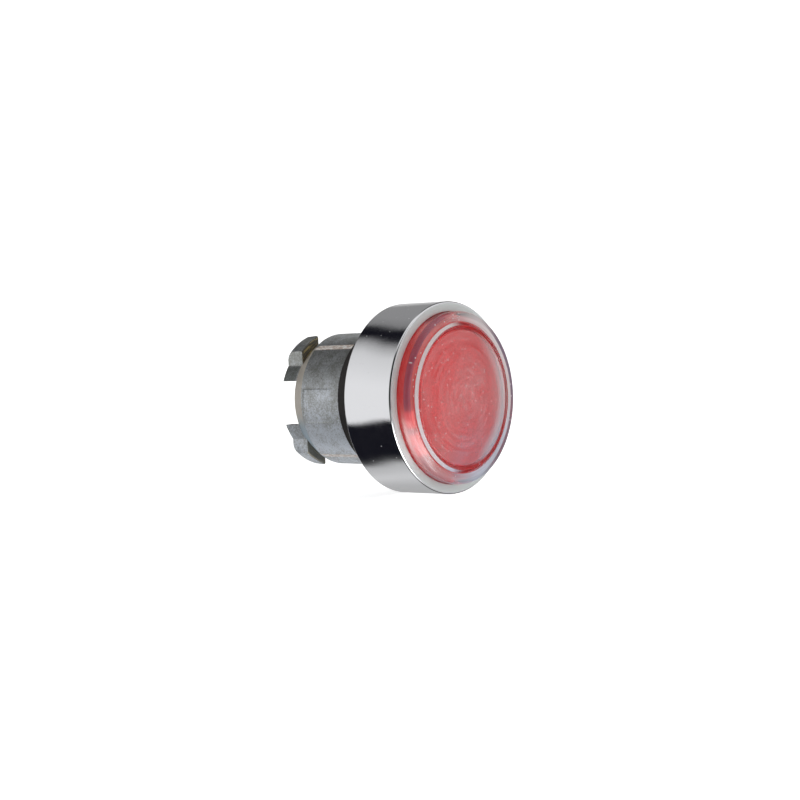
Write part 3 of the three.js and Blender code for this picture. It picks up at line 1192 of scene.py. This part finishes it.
def left_window(g, x, y, z):
    """A barred window low on the front left."""
    bars = g.ramp(g.scaled(z, -1.0), [
        (0.11, 0.0), (0.14, 0.07), (0.26, 0.07), (0.28, 0.02), (0.30, 0.02), (0.32, 0.7), (0.38, 0.7),
        (0.40, 0.15), (0.43, 1.0), (0.60, 1.0), (0.80, 0.45), (0.86, 0.0),
    ])
    return g.product(bars, g.step(x, 0.40, 0.26), g.step(y, -0.48, -0.60))


def front_surroundings(g, x, y, z, height):
    """What the front reflects: a pale right with dark gaps, a dark left with a top light, and a window."""
    right = g.ramp(height, [(0.0, 0.5), (0.45, 0.62), (0.6, 0.70), (1.0, 1.0)])
    side_gap = g.product(g.band(y, -0.40, 0.40, 0.12), g.step(g.math("ABSOLUTE", z), 0.35, 0.50))
    edge_gap = g.product(g.band(y, -0.08, 0.45, 0.12), g.step(x, 0.80, 0.92))
    gap = g.largest(side_gap, edge_gap)
    right = g.mix(g.product(gap, 0.95), right, GAP_GREY)
    left = g.scaled(g.step(z, 0.72, 0.90), 0.8, 0.04)
    front = g.mix(g.step(x, 0.05, 0.38), left, right)
    return g.overlay("ADD", front, g.scaled(left_window(g, x, y, z), WINDOW_POWER))


def soft_surroundings(g, x, height):
    """The light that matt surfaces receive: white from the right and below, dark from the upper left."""
    right = g.ramp(height, [
        (0.0, (0.72, 0.74, 0.80, 1)), (0.4, (0.92, 0.93, 0.95, 1)), (0.8, (1.0, 1.0, 0.98, 1)),
    ])
    left = g.ramp(height, [
        (0.0, (0.80, 0.84, 0.90, 1)), (0.4, (0.95, 0.98, 1.0, 1)), (0.55, (0.65, 0.65, 0.65, 1)),
        (0.68, (0.16, 0.16, 0.15, 1)), (1.0, (0.25, 0.25, 0.24, 1)),
    ])
    return g.mix(g.step(x, -0.35, 0.15), left, right)


def studio_world():
    """Soft light, and for reflections the soft boxes and black flags that polished metal is shot with."""
    world = bpy.data.worlds.new("studio")
    bpy.context.scene.world = world
    g = Graph(world)
    x, y, z = g.split(g.node("TexCoord").outputs["Generated"])
    height = g.scaled(z, 0.5, 0.5)
    glossy = g.mix(
        g.step(y, 0.28, 0.40),
        front_surroundings(g, x, y, z, height),
        rear_surroundings(g, x, y, z),
    )
    reflects = g.node("LightPath").outputs["Is Glossy Ray"]
    colour = g.mix(reflects, soft_surroundings(g, x, height), glossy)
    background = g.node("Background", {"Color": colour, "Strength": 1.0})
    output = g.node("OutputWorld")
    g.tree.links.new(background.outputs[0], output.inputs["Surface"])


def floor_mesh(low):
    """A bmesh of a round floor turned about Z, level at height low and curving up into a wall all round."""
    profile = [(FLOOR_FLAT_R * k / 6, low) for k in range(7)]
    for k in range(1, 13):
        a = math.radians(90 * k / 12)
        rise = FLOOR_CURVE_R * (1 - math.cos(a))
        profile.append((FLOOR_FLAT_R + FLOOR_CURVE_R * math.sin(a), low + rise))
    profile.append((FLOOR_FLAT_R + FLOOR_CURVE_R, low + FLOOR_WALL))
    bm = bmesh.new()
    rings = []
    for s in range(FLOOR_SEGMENTS):
        a = 2 * math.pi * s / FLOOR_SEGMENTS
        rings.append([bm.verts.new((r * math.cos(a), r * math.sin(a), z)) for r, z in profile])
    for s in range(FLOOR_SEGMENTS):
        here, there = rings[s], rings[(s + 1) % FLOOR_SEGMENTS]
        bm.faces.new([here[0], here[1], there[1]])
        for i in range(1, len(profile) - 1):
            bm.faces.new([here[i], here[i + 1], there[i + 1], there[i]])
    return bm


def build_floor():
    """Pale paper, seen by the camera but neither reflected nor lighting or shading the object."""
    floor = new_piece("studio_floor", floor_mesh(CAD_BOX[0].z / MM))
    floor.data.transform(Matrix.Translation((0, -SEAT_Y_M, 0)))
    made, g = material("floor_paper")
    paper = g.principled({
        "Base Color": (0.88, 0.88, 0.88, 1),
        "Roughness": 0.9,
        "Emission Color": (1, 1, 1, 1),
        "Emission Strength": 0.78,
    })
    g.surface(paper)
    paint(floor, made)
    floor.visible_glossy = False
    floor.visible_diffuse = False
    floor.visible_shadow = False


def build_camera():
    """The viewpoint: 50 degrees round to the left of the axis, a little above it and slightly rolled."""
    azimuth, elevation, roll = math.radians(-49.7), math.radians(3.3), math.radians(-3.208)
    distance, side, rise = 228.97, 7.918, -0.094
    back = Vector((
        math.sin(azimuth) * math.cos(elevation),
        -math.cos(azimuth) * math.cos(elevation),
        math.sin(elevation),
    ))
    level = Vector((0, 0, 1)).cross(back).normalized()
    upright = back.cross(level)
    right = level * math.cos(roll) + upright * math.sin(roll)
    up = upright * math.cos(roll) - level * math.sin(roll)
    data = bpy.data.cameras.new("camera")
    data.sensor_width = 36
    data.lens = 68.58
    data.clip_start = 0.01
    data.clip_end = 10
    camera = bpy.data.objects.new("camera", data)
    bpy.context.scene.collection.objects.link(camera)
    target = Vector((0, BEZEL_FRONT, 0))
    offset = back * distance - level * side - upright * rise
    place = (target + offset) * MM + Vector((0, SEAT_Y_M, 0))
    turn = Matrix((right, up, back)).transposed().to_4x4()
    camera.matrix_world = Matrix.Translation(place) @ turn
    bpy.context.scene.camera = camera


def set_look():
    scene = bpy.context.scene
    scene.view_settings.view_transform = "Standard"
    scene.view_settings.look = "None"
    scene.cycles.use_denoising = True
    scene.cycles.max_bounces = 16
    scene.cycles.transmission_bounces = 12
    scene.cycles.transparent_max_bounces = 12


steel = spring_steel()
build_rigid_pieces(steel)
build_flexing_pieces(steel)
studio_world()
build_floor()
build_camera()
set_look()
